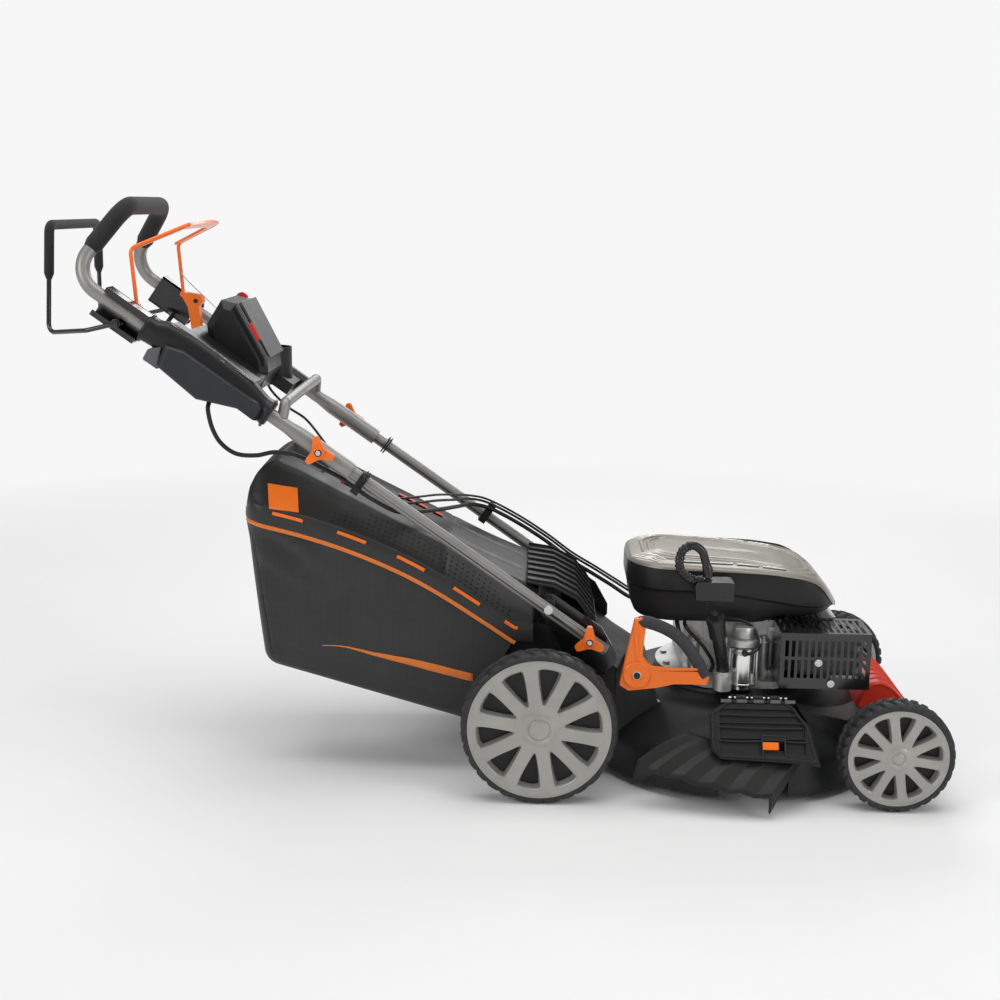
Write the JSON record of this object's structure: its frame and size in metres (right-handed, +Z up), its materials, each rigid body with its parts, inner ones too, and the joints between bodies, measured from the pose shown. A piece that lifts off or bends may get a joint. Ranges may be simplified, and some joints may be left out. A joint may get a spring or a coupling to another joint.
{
  "type": "push lawn mower",
  "caption": "Petrol push lawn mower with steel deck, rear grass bag, side chute, large rear wheels, telescopic folding handle with bails and a control console.",
  "frame": {"origin": "centre of the footprint box of the whole mower, on the ground", "axes": "+X forward towards the front wheels, +Z up, -Y the side with the discharge chute"},
  "size_m": [1.625, 0.644, 1.051],
  "materials": {
    "tyre_rubber": "matte",
    "rim_silver": "satin",
    "deck_paint": "satin",
    "black_plastic": "matte",
    "console_plastic": "satin",
    "shroud_plastic": "satin",
    "bumper_plastic": "satin",
    "orange_plastic": "gloss",
    "red_plastic": "gloss",
    "soft_grip": "matte",
    "cast_aluminium": "cast",
    "cover_paint": "metallic satin",
    "guard_paint": "gloss",
    "steel_dark": "heat tinted",
    "starter_steel": "bright",
    "filler_plastic": "satin",
    "zinc_steel": "zinc plated",
    "gearbox_metal": "cast",
    "machined_steel": "machined",
    "blade_steel": "painted with ground edges",
    "handle_paint": "satin metallic",
    "foam": "foam",
    "orange_rod": "gloss",
    "bag_mesh": "woven mesh",
    "lid_plastic": "satin",
    "cable_jacket": "matte",
    "rope": "braided"
  },
  "bodies": {
    "chassis": {"deck": "deck_paint", "front_apron": "deck_paint", "side_chute": "black_plastic", "front_bumper": "bumper_plastic", "handle_bracket_near": "guard_paint", "handle_bracket_far": "guard_paint", "engine_block": "cast_aluminium", "engine_shroud": "shroud_plastic", "top_cover": "cover_paint", "muffler": "steel_dark", "muffler_guard": "guard_paint", "starter_motor": "starter_steel", "oil_filler": "filler_plastic", "fasteners": "zinc_steel"},
    "dipstick": {"dipstick": "filler_plastic"},
    "rear_axle": {"rear_axle": "zinc_steel", "gearbox": "gearbox_metal"},
    "front_axle": {"front_axle": "zinc_steel"},
    "wheel_rear_near": {"tyre_rear_near": "tyre_rubber", "rim_rear_near": "rim_silver"},
    "wheel_rear_far": {"tyre_rear_far": "tyre_rubber", "rim_rear_far": "rim_silver"},
    "wheel_front_near": {"tyre_front_near": "tyre_rubber", "rim_front_near": "rim_silver"},
    "wheel_front_far": {"tyre_front_far": "tyre_rubber", "rim_front_far": "rim_silver"},
    "lift_lever": {"lift_lever": "orange_plastic", "lift_grip": "soft_grip"},
    "rotor": {"crankshaft": "machined_steel", "blade": "blade_steel", "blade_bolt": "zinc_steel"},
    "side_flap": {"side_flap": "black_plastic"},
    "flap_latch": {"flap_latch": "orange_plastic"},
    "rear_flap": {"rear_flap": "black_plastic"},
    "grass_bag": {"bag_fabric": "bag_mesh", "bag_lid": "lid_plastic"},
    "lower_handle": {"lower_tube_near": "handle_paint", "lower_tube_far": "handle_paint", "cable_clips": "black_plastic", "harness_lower": "cable_jacket", "control_cable_lower": "cable_jacket"},
    "upper_handle": {"upper_tube": "handle_paint", "grip_foam": "foam", "bail_brackets": "guard_paint", "console": "console_plastic", "bottle_holder": "black_plastic", "battery_box": "console_plastic", "harness_upper": "cable_jacket", "control_cable_upper": "cable_jacket"},
    "drive_bail": {"drive_bail": "guard_paint", "drive_bail_foam": "foam"},
    "brake_bail": {"brake_bail": "orange_rod"},
    "throttle_lever": {"throttle_lever": "red_plastic"},
    "lock_lever": {"lock_lever": "orange_plastic"},
    "sleeve_knob_near": {"sleeve_knob_near": "orange_plastic"},
    "sleeve_knob_far": {"sleeve_knob_far": "orange_plastic"},
    "lock_knob_near": {"lock_knob_near": "orange_plastic"},
    "lock_knob_far": {"lock_knob_far": "orange_plastic"},
    "starter_grip": {"starter_grip": "shroud_plastic", "starter_rope": "rope"}
  },
  "joints": [
    {"name": "lift_lever_turn", "type": "hinge", "parent": "chassis", "child": "lift_lever", "pos_m": [0.251, -0.214, 0.228], "axis": [0, -1, 0], "range_deg": [0, 40]},
    {"name": "rear_axle_swing", "type": "hinge", "parent": "chassis", "child": "rear_axle", "pos_m": [0.14557, 0.022, 0.11837], "axis": [0, -1, 0], "range_deg": [0, 40]},
    {"name": "front_axle_swing", "type": "hinge", "parent": "chassis", "child": "front_axle", "pos_m": [0.77757, 0.022, 0.07987], "axis": [0, -1, 0], "range_deg": [0, 40]},
    {"name": "wheel_rear_near_spin", "type": "hinge", "parent": "rear_axle", "child": "wheel_rear_near", "pos_m": [0.079, -0.2545, 0.14], "axis": [0, 1, 0], "continuous": true},
    {"name": "wheel_rear_far_spin", "type": "hinge", "parent": "rear_axle", "child": "wheel_rear_far", "pos_m": [0.079, 0.2985, 0.14], "axis": [0, 1, 0], "continuous": true},
    {"name": "wheel_front_near_spin", "type": "hinge", "parent": "front_axle", "child": "wheel_front_near", "pos_m": [0.711, -0.2545, 0.1015], "axis": [0, 1, 0], "continuous": true},
    {"name": "wheel_front_far_spin", "type": "hinge", "parent": "front_axle", "child": "wheel_front_far", "pos_m": [0.711, 0.2985, 0.1015], "axis": [0, 1, 0], "continuous": true},
    {"name": "blade_spin", "type": "hinge", "parent": "chassis", "child": "rotor", "pos_m": [0.451, 0.022, 0.06], "axis": [0, 0, 1], "continuous": true},
    {"name": "side_flap_open", "type": "hinge", "parent": "chassis", "child": "side_flap", "pos_m": [0.469, -0.214, 0.186], "axis": [-1, 0, 0], "range_deg": [0, 65], "stiffness_Nm_per_rad": 0.2, "springref_deg": -17.19},
    {"name": "flap_latch_slide", "type": "slide", "parent": "side_flap", "child": "flap_latch", "axis": [1, 0, 0], "range_m": [0, 0.01], "stiffness_N_per_m": 60, "springref_m": -0.004},
    {"name": "rear_flap_open", "type": "hinge", "parent": "chassis", "child": "rear_flap", "pos_m": [0.183, 0.022, 0.256], "axis": [0, 1, 0], "range_deg": [0, 28], "stiffness_Nm_per_rad": 0.6, "springref_deg": -22.92},
    {"name": "bag_off", "type": "slide", "parent": "chassis", "child": "grass_bag", "axis": [-1, 0, 0], "range_m": [0, 0.6]},
    {"name": "handle_fold", "type": "hinge", "parent": "chassis", "child": "lower_handle", "pos_m": [0.092, 0.022, 0.333], "axis": [0, 1, 0], "range_deg": [0, 100], "deforming": ["harness_lower", "control_cable_lower"]},
    {"name": "handle_extend", "type": "slide", "parent": "lower_handle", "child": "upper_handle", "axis": [-0.8198, 0, 0.5726], "range_m": [0, 0.08], "deforming": ["harness_upper", "control_cable_upper"]},
    {"name": "drive_bail_squeeze", "type": "hinge", "parent": "upper_handle", "child": "drive_bail", "pos_m": [-0.671, 0.022, 0.834], "axis": [0, 1, 0], "range_deg": [0, 27], "stiffness_Nm_per_rad": 0.8, "springref_deg": -22.92},
    {"name": "brake_bail_squeeze", "type": "hinge", "parent": "upper_handle", "child": "brake_bail", "pos_m": [-0.643, 0.022, 0.863], "axis": [0, -1, 0], "range_deg": [0, 26], "stiffness_Nm_per_rad": 0.8, "springref_deg": -22.92},
    {"name": "throttle_turn", "type": "hinge", "parent": "upper_handle", "child": "throttle_lever", "pos_m": [-0.489, 0.113, 0.8], "axis": [0, 1, 0], "range_deg": [-12, 20]},
    {"name": "lock_lever_press", "type": "hinge", "parent": "upper_handle", "child": "lock_lever", "pos_m": [-0.611, 0.166, 0.852], "axis": [0, 1, 0], "range_deg": [0, 18], "stiffness_Nm_per_rad": 0.2, "springref_deg": -22.92},
    {"name": "sleeve_knob_near_turn", "type": "hinge", "parent": "upper_handle", "child": "sleeve_knob_near", "pos_m": [-0.3175, -0.192, 0.61488], "axis": [0, 1, 0], "continuous": true},
    {"name": "sleeve_knob_far_turn", "type": "hinge", "parent": "upper_handle", "child": "sleeve_knob_far", "pos_m": [-0.3175, 0.236, 0.61488], "axis": [0, 1, 0], "continuous": true},
    {"name": "lock_knob_near_turn", "type": "hinge", "parent": "lower_handle", "child": "lock_knob_near", "pos_m": [0.1667, -0.192, 0.2785], "axis": [0, 1, 0], "continuous": true},
    {"name": "lock_knob_far_turn", "type": "hinge", "parent": "lower_handle", "child": "lock_knob_far", "pos_m": [0.1667, 0.236, 0.2785], "axis": [0, 1, 0], "continuous": true},
    {"name": "starter_pull", "type": "slide", "parent": "chassis", "child": "starter_grip", "axis": [-0.5, 0, 0.866], "range_m": [0, 0.45], "stiffness_N_per_m": 8, "springref_m": -0.3, "deforming": ["starter_rope"]},
    {"name": "dipstick_pull", "type": "slide", "parent": "chassis", "child": "dipstick", "axis": [-0.2094, -0.339, 0.9172], "range_m": [0, 0.09]}
  ],
  "couplings": [
    {"joint": "rear_axle_swing", "follows": "lift_lever_turn", "ratio": 1},
    {"joint": "front_axle_swing", "follows": "lift_lever_turn", "ratio": 1}
  ]
}
